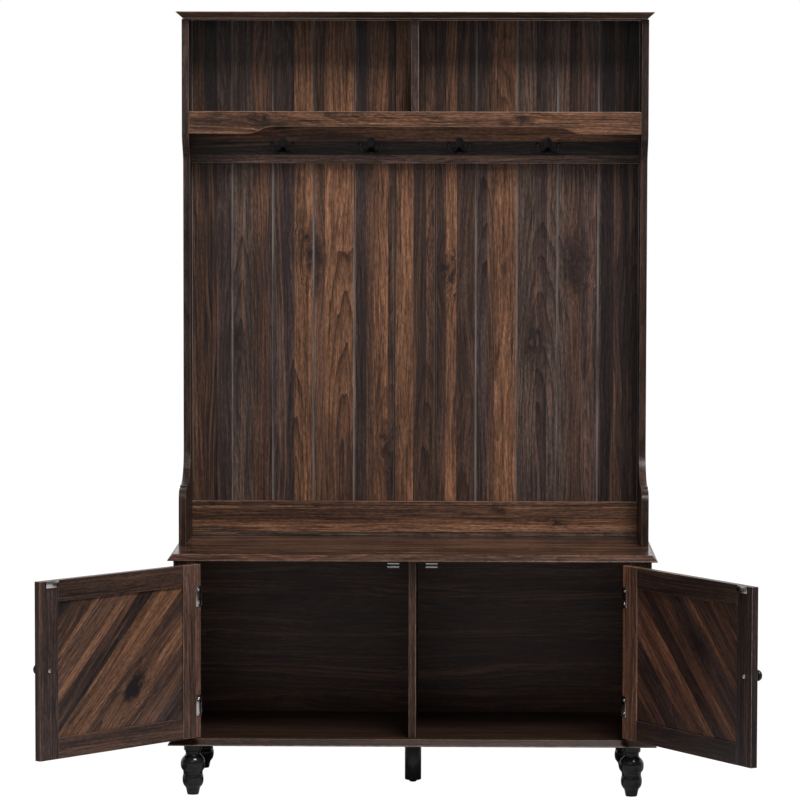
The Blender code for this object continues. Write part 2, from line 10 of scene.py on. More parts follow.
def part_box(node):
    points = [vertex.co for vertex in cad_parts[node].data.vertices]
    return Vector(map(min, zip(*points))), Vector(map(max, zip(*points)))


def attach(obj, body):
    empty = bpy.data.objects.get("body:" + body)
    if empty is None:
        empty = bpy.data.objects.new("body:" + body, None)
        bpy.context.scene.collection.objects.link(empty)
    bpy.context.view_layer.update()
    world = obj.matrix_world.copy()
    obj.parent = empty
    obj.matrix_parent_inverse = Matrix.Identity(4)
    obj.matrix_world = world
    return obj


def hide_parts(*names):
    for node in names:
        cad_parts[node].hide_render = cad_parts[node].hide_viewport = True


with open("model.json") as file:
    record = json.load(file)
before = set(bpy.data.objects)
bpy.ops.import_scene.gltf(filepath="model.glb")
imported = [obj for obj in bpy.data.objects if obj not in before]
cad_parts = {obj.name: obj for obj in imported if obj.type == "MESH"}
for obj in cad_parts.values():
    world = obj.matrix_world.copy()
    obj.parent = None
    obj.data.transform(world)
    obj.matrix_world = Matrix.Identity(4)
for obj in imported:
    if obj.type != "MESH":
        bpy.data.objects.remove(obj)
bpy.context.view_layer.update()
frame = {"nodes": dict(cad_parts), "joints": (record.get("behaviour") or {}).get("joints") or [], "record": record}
nodes = frame["nodes"]
record = frame["record"]
body_of = {n: body for body, members in record["behaviour"]["bodies"].items() for n in members}
joint_of = {j["child"]: j for j in frame["joints"]}

# ---- camera ----------------------------------------------------------------------------------------
CAMERA_PLACE = (0.1013, -8.3753, 1.4093)
CAMERA_YAW = -0.0156        # radians, positive turns towards +X
CAMERA_PITCH = 0.0706       # radians, downwards
CAMERA_ROLL = 0.0019
LENS = 177.95

# ---- wood tones, linear ----------------------------------------------------------------------------
ORANGE = (0.210, 0.098, 0.054)
AMBER = (0.180, 0.087, 0.049)
TAN = (0.160, 0.079, 0.047)
BROWN = (0.116, 0.058, 0.038)
GREY = (0.104, 0.066, 0.052)
UMBER = (0.066, 0.036, 0.027)
DUSK = (0.066, 0.041, 0.036)
NIGHT = (0.034, 0.021, 0.018)
SMUDGE = (0.012, 0.008, 0.009)
EDGE_HIGHLIGHT = (0.330, 0.225, 0.175)         # painted highlight on the narrow faces along board edges
FLECK = (0.300, 0.135, 0.066)       # sapwood-warm lines
VIOLET = (0.034, 0.024, 0.025)      # in the dark lines
BARE_GROOVE = (0.030, 0.024, 0.022)
PALE_GROOVE = (0.240, 0.225, 0.215)

X, Y, Z = 0, 1, 2

# strips of the grooved back from left to right: where each starts along X, and its tone
# the dark strips beyond about -0.43 and +0.33 are print, made darker still as painted shade beside the hutch sides
BACK_STRIPS = (
    (-0.500, BROWN), (-0.458, NIGHT), (-0.432, DUSK), (-0.396, GREY), (-0.352, BROWN), (-0.318, DUSK),
    (-0.262, ORANGE), (-0.2200, BROWN), (-0.198, ORANGE), (-0.1320, DUSK), (-0.106, BROWN), (-0.092, ORANGE),
    (-0.061, UMBER), (-0.0440, ORANGE), (-0.006, UMBER), (0.0210, BROWN), (0.0440, UMBER), (0.063, ORANGE),
    (0.089, UMBER), (0.1320, DUSK), (0.155, BROWN), (0.168, ORANGE), (0.2200, GREY), (0.258, DUSK),
    (0.284, GREY), (0.330, UMBER), (0.358, DUSK), (0.402, NIGHT), (0.428, UMBER), (0.446, NIGHT),
)
# door tones: hinge and meeting stile, top and bottom rail, panel
STILE_TINTS = {"left": (1.75, 0.74), "right": ((1.90, 1.50, 1.15), 0.42)}
RAIL_TINTS = {"left": (0.66, 0.85), "right": (0.62, 0.68)}
PANEL_TINT = {"left": 0.98, "right": (0.74, 0.66, 0.64)}
# strips of the slanted panels, across the slant
PANEL_STRIPS = {
    "left": ((-0.300, DUSK), (-0.105, UMBER), (-0.052, TAN), (-0.020, BROWN), (0.030, AMBER), (0.086, NIGHT),
             (0.128, TAN), (0.146, BROWN), (0.1725, UMBER), (0.190, TAN), (0.200, BROWN), (0.239, NIGHT)),
    "right": ((-0.400, UMBER), (-0.240, BROWN), (-0.205, UMBER), (-0.165, TAN), (-0.150, DUSK),
              (-0.100, BROWN), (-0.060, UMBER), (-0.030, TAN), (-0.012, BROWN), (0.040, DUSK),
              (0.090, BROWN), (0.115, TAN), (0.125, UMBER), (0.170, BROWN)),
}
# knots: place across the grain, place along it, reach
BACK_KNOTS = ((-0.226, 1.121, 0.030), (0.071, 1.085, 0.026), (0.345, 1.098, 0.034), (-0.385, 0.935, 0.020),
              (0.255, 0.925, 0.030), (-0.060, 0.700, 0.022))
BASE_KNOTS = ((0.568, 0.181, 0.011), (0.535, 0.309, 0.012), (0.573, -0.214, 0.005))
VALANCE_KNOTS = ((1.4150, -0.331, 0.019), (1.4110, 0.232, 0.013), (1.4040, 0.190, 0.010),
                 (1.4146, 0.050, 0.008))
DOOR_KNOTS = {"left": ((-0.010, 0.368, 0.034), (-0.012, 0.364, 0.017)), "right": ((-0.115, 0.375, 0.026),)}
# nested arches: middle across the grain, lower end, reach across, length, and how fast they spread
BACK_HEARTS = ((-0.148, 0.60, 0.055, 0.62, 0.08), (0.276, 0.72, 0.066, 0.56, 0.11),
               (0.022, 0.60, 0.030, 0.34, 0.09), (-0.372, 0.80, 0.045, 0.42, 0.10),
               (0.150, 1.00, 0.034, 0.40, 0.09), (-0.262, 0.58, 0.030, 0.40, 0.09))
DOOR_HEARTS = {"left": ((0.012, 0.16, 0.034, 0.34, 0.10),), "right": ((-0.030, 0.14, 0.030, 0.30, 0.10),)}
HEART_RINGS = 115.0         # rings in a metre across the nested arches
PLAIN_RINGS = 125.0         # rings in a metre away from them
SEED_STEP = 0.731           # how far each seed shifts the print
BELL_BASE = 2.718
STRIP_JUMP = 170.0          # how far the figure jumps from one listed strip to the next
CELL_JUMP = 9.0             # the same for strips of random tone
GROOVE_PITCH = 0.088
GROOVE_HALF = 0.0018
GROOVE_FLOOR = 0.1960       # just behind the groove's floor
CUBBY_SHADE = (1.405, 1.425)     # heights, behind the hat shelf, over which a painted shade sets in: above them the back is darker, in the cubbies under the cap

scene = bpy.context.scene
for block in (bpy.data.lights, bpy.data.cameras):
    for item in list(block):
        block.remove(item)


class Nodes:
    """A small helper for writing a node material as expressions."""

    def __init__(self, name):
        self.material = bpy.data.materials.new(name)
        self.material.use_nodes = True
        self.tree = self.material.node_tree
        self.shader = self.tree.nodes["Principled BSDF"]

    def add(self, kind, **settings):
        made = self.tree.nodes.new(kind)
        for key, value in settings.items():
            setattr(made, key, value)
        return made

    def feed(self, socket, value):
        if isinstance(value, bpy.types.NodeSocket):
            self.tree.links.new(value, socket)
        elif isinstance(value, tuple) and len(value) == 3 and socket.type == "RGBA":
            socket.default_value = (*value, 1.0)
        else:
            socket.default_value = value

    def math(self, operation, a, b=0.0, c=None, clamp=False):
        made = self.add("ShaderNodeMath", operation=operation, use_clamp=clamp)
        for socket, value in zip(made.inputs, (a, b, c)):
            if value is not None:
                self.feed(socket, value)
        return made.outputs[0]

    def vector(self, operation, a, b=(0.0, 0.0, 0.0)):
        made = self.add("ShaderNodeVectorMath", operation=operation)
        self.feed(made.inputs[0], a)
        self.feed(made.inputs[1], b)
        return made.outputs[0]

    def mix(self, share, a, b, blend="MIX"):
        made = self.add("ShaderNodeMix", data_type="RGBA", blend_type=blend)
        self.feed(made.inputs[0], share)
        self.feed(made.inputs[6], a)
        self.feed(made.inputs[7], b)
        return made.outputs[2]

    def span(self, value, low, high, out_low=0.0, out_high=1.0, smooth=False):
        made = self.add("ShaderNodeMapRange", interpolation_type="SMOOTHSTEP" if smooth else "LINEAR")
        for socket, item in zip(made.inputs, (value, low, high, out_low, out_high)):
            self.feed(socket, item)
        return made.outputs[0]

    def noise(self, place, scale, detail=2.0, roughness=0.5):
        made = self.add("ShaderNodeTexNoise")
        self.feed(made.inputs["Vector"], place)
        for key, value in (("Scale", scale), ("Detail", detail), ("Roughness", roughness)):
            self.feed(made.inputs[key], value)
        return made.outputs[0]

    def cells(self, value, scale):
        """Random colour and distance to the middle, for strips along one line."""
        made = self.add("ShaderNodeTexVoronoi", voronoi_dimensions="1D")
        self.feed(made.inputs["W"], value)
        self.feed(made.inputs["Scale"], scale)
        return made.outputs["Color"], made.outputs["Distance"]

    def ramp(self, value, stops):
        """Even bands of colour, each from its stop to the next."""
        made = self.add("ShaderNodeValToRGB")
        band = made.color_ramp
        band.interpolation = "CONSTANT"
        while len(band.elements) < len(stops):
            band.elements.new(1.0)
        for element, (at, colour) in zip(band.elements, stops):
            element.position = at
            element.color = (*colour, 1.0)
        self.feed(made.inputs[0], value)
        return made.outputs[0]

    def split(self, value):
        made = self.add("ShaderNodeSeparateXYZ")
        self.feed(made.inputs[0], value)
        return made.outputs

    def join(self, x, y, z):
        made = self.add("ShaderNodeCombineXYZ")
        for socket, value in zip(made.inputs, (x, y, z)):
            self.feed(socket, value)
        return made.outputs[0]

    def centred(self, value):
        return self.math("SUBTRACT", value, 0.5)

    def hypot(self, a, b):
        return self.math("SQRT", self.math("ADD", self.math("MULTIPLY", a, a), self.math("MULTIPLY", b, b)))

    def bell(self, squared):
        """1 at no distance, falling smoothly as the squared distance grows."""
        return self.math("POWER", BELL_BASE, self.math("MULTIPLY", squared, -1.0))

    def stretched(self, shade, contrast):
        """A multiplier moved away from 1, or towards it."""
        return self.math("MULTIPLY_ADD", self.math("SUBTRACT", shade, 1.0), contrast, 1.0)

    def dimmed(self, colour, share):
        """A colour multiplied by one number."""
        return self.mix(1.0, colour, self.join(share, share, share), "MULTIPLY")

    def edge_faces(self):
        """1 on the narrow faces along a piece's edges."""
        return self.add("ShaderNodeAttribute", attribute_name="edge").outputs["Fac"]

    def relief(self, height, strength, distance):
        bump = self.add("ShaderNodeBump")
        bump.inputs["Strength"].default_value = strength
        bump.inputs["Distance"].default_value = distance
        self.feed(bump.inputs["Height"], height)
        self.feed(self.shader.inputs["Normal"], bump.outputs[0])

    def rest_place(self, side=None):
        """Place in the object's frame at rest; with a side, as if that door were closed."""
        place = self.add("ShaderNodeTexCoord").outputs["Object"]
        if side is None:
            return place
        turn = self.add("ShaderNodeVectorRotate", rotation_type="Z_AXIS")
        self.feed(turn.inputs["Vector"], place)
        self.feed(turn.inputs["Center"], tuple(PIVOT[side]))
        self.feed(turn.inputs["Angle"], CLOSE_TURN[side])
        return turn.outputs[0]


PIVOT = {}
CLOSE_TURN = {}
for side in ("left", "right"):
    joint = joint_of[side + "_door"]
    PIVOT[side] = Vector(joint["pos_m"])
    ends = joint["range_deg"]
    CLOSE_TURN[side] = math.radians(ends[1] if side == "left" else ends[0])


def knotted(n, cross, along, knots, place):
    """The lines of growth bent around ragged knots, and how dark the knots make each place."""
    dark = 0.0
    bent = cross
    ragged = n.centred(n.noise(place, 48.0, 3.0, 0.6)) if knots else None
    for knot_cross, knot_along, reach in knots:
        off_cross = n.math("MULTIPLY_ADD", ragged, reach * 2.4, n.math("SUBTRACT", cross, knot_cross))
        off_along = n.math("MULTIPLY_ADD", ragged, reach * -3.2, n.math("SUBTRACT", along, knot_along))
        away = n.math("ADD", n.math("POWER", n.math("DIVIDE", off_cross, reach), 2.0),
                      n.math("POWER", n.math("DIVIDE", off_along, reach * 2.2), 2.0))
        fall = n.bell(away)
        bent = n.math("SUBTRACT", bent, n.math("MULTIPLY", off_cross, n.math("MULTIPLY", fall, 0.85)))
        dark = n.math("ADD", n.math("POWER", fall, 1.7), dark)
    return bent, dark


def walnut(name, grain, across, seed, strips=None, limit=None, side=None, slant=0.0, width=0.035, gain=1.0,
           knots=(), tones=None, wander=0.065, rim=1.0, contrast=1.0, arches=0.07, fade=None, hearts=(),
           calm_below=None):
    """Printed walnut laminate: strips of varied tone, flowing figure, fine streaks, pores and knots.

    grain and across: the axes that the grain runs along and that the strips follow one another on.
    strips: where each strip starts and its tone, from the lowest place up to limit; without them, strips of
    about that width take their tones at random from tones.
    side, slant: the door that the board turns with, and the angle of its grain to the upright.
    gain: a number or a tint that multiplies the colour; contrast: the strength of the figure.
    wander, arches: how far the lines of growth sway, and how far apart their arches are.
    rim: how strong the painted highlight on the edge faces is.
    fade: (start, end, share), painted shade: the colour darkens to that share between those distances from the
    middle.
    calm_below: the height under which the figure has its plain contrast and the colour is paler, a painted sheen.
    """
    n = Nodes(name)
    place = n.rest_place(side)
    if slant:
        turn = n.add("ShaderNodeVectorRotate", rotation_type="Y_AXIS")
        n.feed(turn.inputs["Vector"], place)
        n.feed(turn.inputs["Angle"], slant)
        place = turn.outputs[0]
    axes = n.split(place)
    along = axes[grain]
    cross = axes[across]
    depth = axes[3 - grain - across]
    bent, dark = knotted(n, cross, along, knots, place)
    cell, _ = n.cells(n.math("ADD", cross, seed * SEED_STEP), 1.0 / width)
    if strips:
        low = strips[0][0]
        high = -low if limit is None else limit
        tone = n.ramp(n.span(cross, low, high), [((x - low) / (high - low), tone) for x, tone in strips])
    else:
        tones = tones or ((0.0, UMBER), (0.22, DUSK), (0.42, BROWN), (0.66, GREY), (0.78, ORANGE))
        tone = n.ramp(n.split(cell)[0], tones)
    jump = n.add("ShaderNodeVectorMath", operation="SCALE")
    n.feed(jump.inputs[0], tone if strips else cell)
    jump.inputs["Scale"].default_value = STRIP_JUMP if strips else CELL_JUMP
    jump = jump.outputs[0]
    bent = n.math("ADD", bent, seed * SEED_STEP)

    def field(along_scale, cross_scale, line, detail, roughness):
        """Noise drawn out along the grain, other in each strip; the scales are in waves to the metre."""
        at = n.join(n.math("MULTIPLY", along, along_scale), n.math("MULTIPLY", line, cross_scale),
                    n.math("MULTIPLY", depth, cross_scale))
        return n.noise(n.vector("ADD", at, jump), 1.0, detail, roughness)

    # the lines of growth wander, so that arches and fans form
    drift = n.centred(field(1.9, 12.0, bent, 2.0, 0.40))
    line = n.math("ADD", bent, n.math("MULTIPLY", drift, wander))
    # arches: growth rings of a log cut lengthwise, nested around a centre line in each board
    start, away = n.cells(n.math("ADD", bent, n.math("MULTIPLY", drift, wander * 0.7)), 1.0 / arches)
    away = n.math("MULTIPLY", away, arches)
    level = n.math("ADD", n.math("MULTIPLY", along, 0.11), n.math("MULTIPLY", n.split(start)[0], 0.40))
    level = n.math("SUBTRACT", n.math("PINGPONG", level, 0.050), 0.016)
    level = n.math("ADD", level, n.math("MULTIPLY", drift, 0.06))
    wobble = n.math("MULTIPLY", n.centred(field(6.0, 45.0, cross, 2.0, 0.5)), 0.006)
    radius = n.math("ADD", n.hypot(away, level), wobble)
    ring = n.math("POWER", n.math("FRACT", n.math("MULTIPLY", radius, PLAIN_RINGS)), 1.8)
    ring = n.math("MULTIPLY", ring, n.span(field(1.2, 5.0, cross, 1.0, 0.5), 0.38, 0.52, 0.10, 1.0, True))
    calm = 0.0
    for heart_cross, base, reach, length, spread in hearts:
        off = n.math("MULTIPLY_ADD", drift, 0.05, n.math("SUBTRACT", cross, heart_cross))
        rise = n.math("MULTIPLY", n.math("SUBTRACT", along, base), spread)
        radius = n.math("MULTIPLY_ADD", wobble, 1.6, n.hypot(off, rise))
        own = n.math("POWER", n.math("FRACT", n.math("MULTIPLY", radius, HEART_RINGS)), 1.9)
        near = n.math("DIVIDE", off, reach)
        weight = n.bell(n.math("MULTIPLY", near, near))
        top = base + length
        for edge, inside in ((base - 0.03, base + 0.06), (top, top - 0.10)):
            weight = n.math("MULTIPLY", weight, n.span(along, edge, inside, 0.0, 1.0, True))
        ring = n.math("MULTIPLY_ADD", n.math("SUBTRACT", n.math("MULTIPLY", own, 1.4), ring), weight, ring)
        calm = n.math("ADD", weight, calm, clamp=True)
    streak = field(3.4, 170.0, line, 5.0, 0.80)
    fibre = field(9.0, 360.0, cross, 4.0, 0.75)
    band = field(1.1, 34.0, line, 2.0, 0.5)
    cloud = field(2.6, 9.0, bent, 3.0, 0.6)
    pore = field(13.0, 340.0, line, 1.0, 0.5)
    grit = field(85.0, 360.0, cross, 2.0, 0.6)
    shade = n.span(streak, 0.37, 0.63, 0.46, 1.54)
    if hearts:
        shade = n.stretched(shade, n.math("MULTIPLY_ADD", calm, -0.65, 1.0))
    # each layer, the range it is read over, and the share of light at either end of that range
    for layer, low, high, low_share, high_share in (
            (band, 0.35, 0.65, 0.76, 1.24), (cloud, 0.36, 0.66, 0.76, 1.22), (ring, 0.0, 1.4, 1.12, 0.28),
            (grit, 0.36, 0.64, 0.68, 1.32), (fibre, 0.36, 0.64, 0.66, 1.34), (pore, 0.60, 0.68, 1.0, 0.50)):
        shade = n.math("MULTIPLY", shade, n.span(layer, low, high, low_share, high_share))
    if calm_below is None:
        shade = n.stretched(shade, contrast)
    else:
        step = (n.split(n.rest_place())[2], calm_below - 0.0008, calm_below)
        shade = n.stretched(shade, n.span(*step, 0.9, contrast))
        # painted sheen: the colour is paler below that height, on the bench's front edge
        shade = n.math("MULTIPLY", shade, n.span(*step, 1.35, 1.0))
    colour = n.dimmed(tone, n.math("MAXIMUM", shade, 0.12))
    # sapwood-warm flecks on the light lines, violet in the dark ones
    warm = n.math("MULTIPLY", n.span(band, 0.50, 0.66, 0.0, 0.42, True), n.span(streak, 0.46, 0.62))
    colour = n.mix(warm, colour, FLECK)
    cool = n.math("MULTIPLY", n.span(cloud, 0.48, 0.34, 0.0, 0.55, True), n.span(streak, 0.60, 0.42))
    colour = n.mix(cool, colour, VIOLET)
    if knots:
        share = n.math("MULTIPLY", dark, n.span(streak, 0.35, 0.65, 1.0, 0.62), clamp=True)
        colour = n.mix(share, colour, SMUDGE)
    # painted shade: darker towards the ends, where the sides keep the light off
    if fade:
        inner, outer, share = fade
        colour = n.dimmed(colour, n.span(n.math("ABSOLUTE", along), inner, outer, 1.0, share, True))
    tint = gain if isinstance(gain, tuple) else (gain, gain, gain)
    colour = n.mix(1.0, colour, tint, "MULTIPLY")
    # painted highlight: the narrow faces along the edges are lighter, in patches
    patches = n.span(n.noise(place, 60.0, 3.0), 0.35, 0.65, 0.35 * rim, 0.90 * rim)
    colour = n.mix(n.math("MULTIPLY", n.edge_faces(), patches), colour, EDGE_HIGHLIGHT)
    return n, colour, streak, fibre, ring, cross


def finish_walnut(n, colour, streak, fibre, ring, roughness=0.36):
    """Roughness and relief of the printed foil, shared by every walnut material."""
    n.feed(n.shader.inputs["Base Color"], colour)
    both = n.math("ADD", streak, n.math("MULTIPLY", fibre, 0.4))
    n.feed(n.shader.inputs["Roughness"], n.span(both, 0.5, 0.9, roughness + 0.09, roughness - 0.06))
    height = n.math("ADD", n.math("MULTIPLY", fibre, 0.5), n.math("MULTIPLY", streak, 0.5))
    n.relief(n.math("SUBTRACT", height, n.math("MULTIPLY", ring, 0.15)), 0.35, 0.00012)
    n.shader.inputs["Specular IOR Level"].default_value = 0.25
    return n.material


def plain_walnut(name, grain, across, seed, roughness=0.36, **more):
    n, colour, streak, fibre, ring, _ = walnut("walnut_" + name, grain, across, seed, **more)
    return finish_walnut(n, colour, streak, fibre, ring, roughness)


def back_walnut():
    """The grooved back: its strips stand upright, pale paint shows in most of the grooves, and painted shade
    darkens it towards the hutch sides and above the hat shelf.
    """
    n, colour, streak, fibre, ring, cross = walnut("walnut_grooved", Z, X, 3.7, strips=BACK_STRIPS,
                                                   knots=BACK_KNOTS, hearts=BACK_HEARTS)
    from_middle = n.math("ABSOLUTE", cross)
    rest = n.split(n.rest_place())
    # painted shade: darker towards both hutch sides, and above the hat shelf in the cubbies
    painted_shade = n.math("MULTIPLY", n.span(from_middle, 0.380, 0.480, 0.95, 0.70, True),
                 n.span(rest[Z], *CUBBY_SHADE, 1.0, 0.74, True))
    colour = n.dimmed(colour, painted_shade)
    half_pitch = GROOVE_PITCH / 2
    near = n.math("PINGPONG", n.math("ADD", cross, GROOVE_PITCH * 20), half_pitch)
    line = n.span(near, half_pitch - GROOVE_HALF * 1.1, half_pitch - GROOVE_HALF * 0.7)
    line = n.math("MULTIPLY", line, n.span(rest[Y], GROOVE_FLOOR, GROOVE_FLOOR + 0.001, 1.0, 0.0))
    pale = n.span(from_middle, 0.060, 0.120, 0.10, 0.95)
    wear_and_sheen = n.math("MULTIPLY", pale, n.span(n.noise(n.rest_place(), 5.0, 4.0), 0.36, 0.62, 0.25, 1.0))
    colour = n.mix(line, colour, n.mix(wear_and_sheen, BARE_GROOVE, PALE_GROOVE))
    return finish_walnut(n, colour, streak, fibre, ring, 0.40)


def coated(name, base, tint, metallic, roughness, relief, grain_scale, edge_sheen):
    """Paint, coating, plating or plastic: slight mottling, a painted highlight on the narrow edge faces and a fine
    relief.
    """
    n = Nodes(name)
    place = n.rest_place()
    mottle = n.noise(place, grain_scale, 4.0, 0.6)
    broad = n.noise(place, grain_scale * 0.08, 3.0, 0.5)
    colour = n.mix(n.span(mottle, 0.35, 0.65), base, tint)
    # painted highlight: the narrow edge faces are lighter, in patches
    wear_and_sheen = n.math("MULTIPLY", n.edge_faces(), n.span(mottle, 0.4, 0.6, 0.0, edge_sheen))
    colour = n.mix(wear_and_sheen, colour, tuple(min(1, 4 * c) for c in tint))
    n.feed(n.shader.inputs["Base Color"], colour)
    n.shader.inputs["Metallic"].default_value = metallic
    both = n.math("ADD", mottle, broad)
    n.feed(n.shader.inputs["Roughness"], n.span(both, 0.7, 1.3, roughness * 0.8, roughness * 1.25))
    n.relief(both, 0.4, relief)
    return n.material


# name, base, tint, then metallic, roughness, relief, scale of the mottling, strength of the painted edge highlight
BLACK_PAINT = coated("black_paint", (0.0125, 0.0125, 0.013), (0.020, 0.0195, 0.020),
                     0.0, 0.11, 0.00005, 420.0, 0.35)
# painted light: a paler copy of the black paint for the centre leg, which stands in shade under the cabinet
LIFTED_BLACK_PAINT = coated("black_paint_lifted_in_shade", (0.048, 0.048, 0.049), (0.060, 0.0595, 0.060),
                      0.0, 0.24, 0.00010, 420.0, 0.35)
for paint in (BLACK_PAINT, LIFTED_BLACK_PAINT):
    paint.node_tree.nodes["Principled BSDF"].inputs["Specular IOR Level"].default_value = 0.30
BLACK_COAT = coated("black_coat", (0.006, 0.006, 0.0065), (0.013, 0.0125, 0.013),
                    0.3, 0.34, 0.00008, 700.0, 0.4)
NICKEL = coated("nickel", (0.62, 0.61, 0.59), (0.74, 0.73, 0.71), 1.0, 0.20, 0.00002, 500.0, 0.3)
PLASTIC = coated("catch_plastic", (0.014, 0.011, 0.010), (0.024, 0.019, 0.017),
                 0.0, 0.46, 0.00006, 900.0, 0.3)


def placed(name, data):
    """A new object in the scene."""
    made = bpy.data.objects.new(name, data)
    scene.collection.objects.link(made)
    return made


def shown(name, mesh, material, body, stands_for=()):
    """One visible piece on a body and the CAD nodes it stands for."""
    made = placed(name, mesh)
    mesh.materials.clear()
    mesh.materials.append(material)
    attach(made, body)
    if stands_for:
        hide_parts(*stands_for)
    return made


def hard_shaded(piece, degrees=38):
    """Smooth shading, broken at edges sharper than an angle."""
    for polygon in piece.data.polygons:
        polygon.use_smooth = True
    piece.data.set_sharp_from_angle(angle=math.radians(degrees))


def fitted(node, mesh, material, degrees=38, name=None):
    """A mesh shown in the place of one CAD node."""
    name = name or node + "_fine"
    hard_shaded(shown(name, mesh, material, body_of[node], [node]), degrees)


def baked(bm, name):
    """The smooth mesh of a bmesh that isn't needed any more."""
    for face in bm.faces:
        face.smooth = True
    mesh = bpy.data.meshes.new(name)
    bm.to_mesh(mesh)
    bm.free()
    return mesh


def mark_edges(bm, narrow):
    """A face attribute that is 1 on the narrow faces along rounded edges."""
    layer = bm.faces.layers.float.new("edge")
    for face in bm.faces:
        longest = max(edge.calc_length() for edge in face.edges)
        if face.calc_area() < narrow * longest:
            face[layer] = 1.0


def refined(node, material, ease, segments=2, grow=0.0):
    """A CAD board as clean flat faces with rounded edges; grow closes the clearance around a sheet."""
    bm = bmesh.new()
    bm.from_mesh(nodes[node].data)
    low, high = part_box(node)
    for vertex in bm.verts:
        vertex.co.x += math.copysign(grow, vertex.co.x - (low.x + high.x) / 2)
        vertex.co.z += math.copysign(grow, vertex.co.z - (low.z + high.z) / 2)
    bmesh.ops.remove_doubles(bm, verts=bm.verts, dist=0.000002)
    bmesh.ops.dissolve_limit(bm, angle_limit=math.radians(0.5), verts=bm.verts, edges=bm.edges)
    bmesh.ops.recalc_face_normals(bm, faces=bm.faces)
    sharp = [e for e in bm.edges if len(e.link_faces) == 2 and e.calc_face_angle(0.0) > math.radians(32)]
    bmesh.ops.bevel(bm, geom=sharp, offset=ease, segments=segments, profile=0.5, affect="EDGES",
                    clamp_overlap=True)
    mark_edges(bm, 0.0013)
    name = node + "_fine"
    piece = shown(name, baked(bm, name), material, body_of[node], [node])
    piece.modifiers.new("weighted", "WEIGHTED_NORMAL").weight = 60


PLAIN_BROWN = ((0.0, BROWN), (0.5, BROWN))
PLAIN_UMBER = ((0.0, UMBER), (0.5, DUSK))
PLAIN_ORANGE = ((0.0, ORANGE), (0.5, ORANGE))
BASE_STRIPS = ((0.5083, (0.150, 0.100, 0.078)), (0.5150, UMBER), (0.5172, (0.235, 0.118, 0.070)),
               (0.5330, ORANGE), (0.5440, BROWN), (0.5670, AMBER), (0.5735, NIGHT), (0.5755, BROWN))
RAIL_STRIPS = ((1.300, (0.150, 0.090, 0.072)), (1.3345, (0.034, 0.023, 0.021)),
               (1.3640, (0.190, 0.092, 0.056)))
SHARP_EASE = 0.00022        # how far the edges of a plain cut board are rounded
SOFT_EASE = 0.0007          # the same for the shaped boards
EASE = {"shelf_valance": 0.0011, "bench_top": SOFT_EASE, "bottom_board": SOFT_EASE, "top_cap": SOFT_EASE,
        "left_hutch_side": SOFT_EASE, "right_hutch_side": SOFT_EASE, "cabinet_back": SOFT_EASE}
GROW = {"cabinet_back": 0.00028}
# node, axis of the grain, axis across it, seed, and what else walnut() takes
BOARDS = (
    ("bench_top", X, Y, 1.3, dict(width=0.6, tones=PLAIN_BROWN, gain=0.64, contrast=2.8, rim=0.3,
                                  # below the top face: calmer figure and a painted sheen on the front edge
                                  calm_below=0.5072, roughness=0.20)),
    ("bottom_board", X, Y, 2.2, dict(width=0.6, tones=PLAIN_BROWN, gain=0.29)),
    ("top_cap", X, Y, 5.1, dict(width=0.6, tones=PLAIN_BROWN, gain=0.68)),
    ("left_cabinet_side", Z, Y, 6.3, dict(tones=PLAIN_UMBER)),
    ("right_cabinet_side", Z, Y, 7.9, dict(tones=PLAIN_UMBER)),
    ("left_face_stile", Z, X, 8.4, dict(width=0.6, tones=PLAIN_BROWN)),
    ("right_face_stile", Z, X, 9.7, dict(width=0.6, tones=PLAIN_BROWN)),
    ("cabinet_divider", Z, Y, 10.1, dict(width=0.6, tones=PLAIN_BROWN, gain=0.47)),
    ("cabinet_back", X, Z, 11.6, dict(width=0.6, tones=PLAIN_UMBER, gain=1.15, rim=0.0, contrast=0.55)),
    ("left_hutch_side", Z, Y, 12.5, dict(width=0.6, tones=PLAIN_UMBER, gain=0.52, rim=0.6)),
    ("right_hutch_side", Z, Y, 13.8, dict(width=0.6, tones=PLAIN_UMBER, gain=0.62, rim=0.6)),
    ("cubby_divider", Z, Y, 14.4, dict(width=0.6, tones=PLAIN_UMBER)),
    ("hat_shelf", X, Y, 15.2, {}),
    ("shelf_valance", X, Z, 16.9, dict(width=0.6, tones=PLAIN_ORANGE, knots=VALANCE_KNOTS, gain=0.80,
                                       contrast=1.15, arches=0.05, wander=0.03)),
    # the hook rail gets painted shade at both ends
    ("hook_rail", X, Z, 17.3, dict(strips=RAIL_STRIPS, limit=1.420, arches=0.05, fade=(0.36, 0.46, 0.45))),
    ("base_rail", X, Z, 18.8, dict(strips=BASE_STRIPS, limit=0.585, rim=0.45, gain=0.98, wander=0.05,
                                   arches=0.05, knots=BASE_KNOTS)),
)
for node, grain, across, seed, more in BOARDS:
    refined(node, plain_walnut(node, grain, across, seed, **more), EASE.get(node, SHARP_EASE), 2,
            GROW.get(node, 0.0))
refined("hutch_back", back_walnut(), 0.0003, 1)

